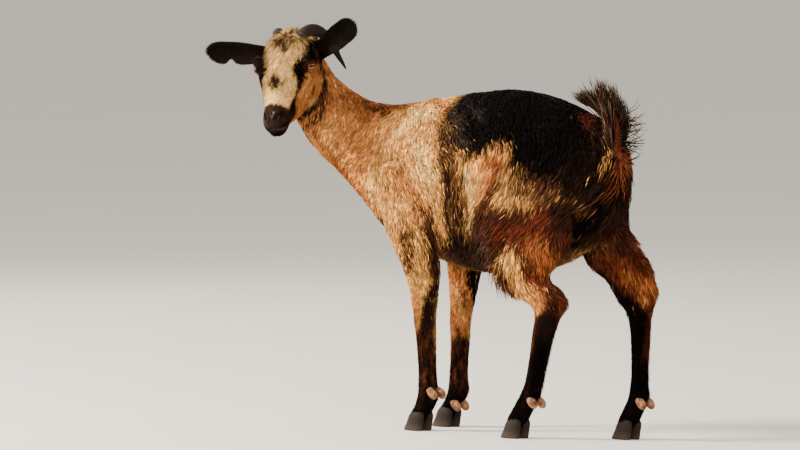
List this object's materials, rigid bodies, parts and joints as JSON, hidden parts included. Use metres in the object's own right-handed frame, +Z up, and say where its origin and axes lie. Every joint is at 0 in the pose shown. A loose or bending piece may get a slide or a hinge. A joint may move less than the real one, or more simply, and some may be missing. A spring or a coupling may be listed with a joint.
{
  "type": "goat",
  "caption": "Standing shaggy-coated goat with its head turned to the left, small curled horns, spread ears and a raised tail, a still life-size display model.",
  "frame": {"origin": "on the floor, under the middle of the goat's bounding box", "axes": "the goat faces -X, its left side is -Y, and +Z is up"},
  "size_m": [0.8952, 0.371, 0.7461],
  "materials": {
    "tan_coat": "short to shaggy coat, golden tan with black saddle and red-brown flanks",
    "dark_coat": "short black-brown coat",
    "face": "short cream coat with black stripes through the eyes",
    "horn": "ringed dull horn",
    "hoof": "dull dark hoof horn",
    "dewclaw": "worn tan horn",
    "eye": "wet amber eye with a level slot pupil"
  },
  "bodies": {
    "root": {"ear_left": "dark_coat", "ear_right": "dark_coat", "eye_left": "eye", "eye_right": "eye", "fore_cannon_left": "dark_coat", "fore_cannon_right": "dark_coat", "fore_dewclaw_left_inner": "dewclaw", "fore_dewclaw_left_outer": "dewclaw", "fore_dewclaw_right_inner": "dewclaw", "fore_dewclaw_right_outer": "dewclaw", "fore_hoof_left_inner": "hoof", "fore_hoof_left_outer": "hoof", "fore_hoof_right_inner": "hoof", "fore_hoof_right_outer": "hoof", "foreleg_left": "tan_coat", "foreleg_right": "tan_coat", "head": "face", "hind_cannon_left": "dark_coat", "hind_cannon_right": "dark_coat", "hind_dewclaw_left_inner": "dewclaw", "hind_dewclaw_left_outer": "dewclaw", "hind_dewclaw_right_inner": "dewclaw", "hind_dewclaw_right_outer": "dewclaw", "hind_hoof_left_inner": "hoof", "hind_hoof_left_outer": "hoof", "hind_hoof_right_inner": "hoof", "hind_hoof_right_outer": "hoof", "hindleg_left": "tan_coat", "hindleg_right": "tan_coat", "horn_left": "horn", "horn_right": "horn", "lower_jaw": "dark_coat", "neck": "tan_coat", "tail": "dark_coat", "torso": "tan_coat"}
  },
  "joints": []
}
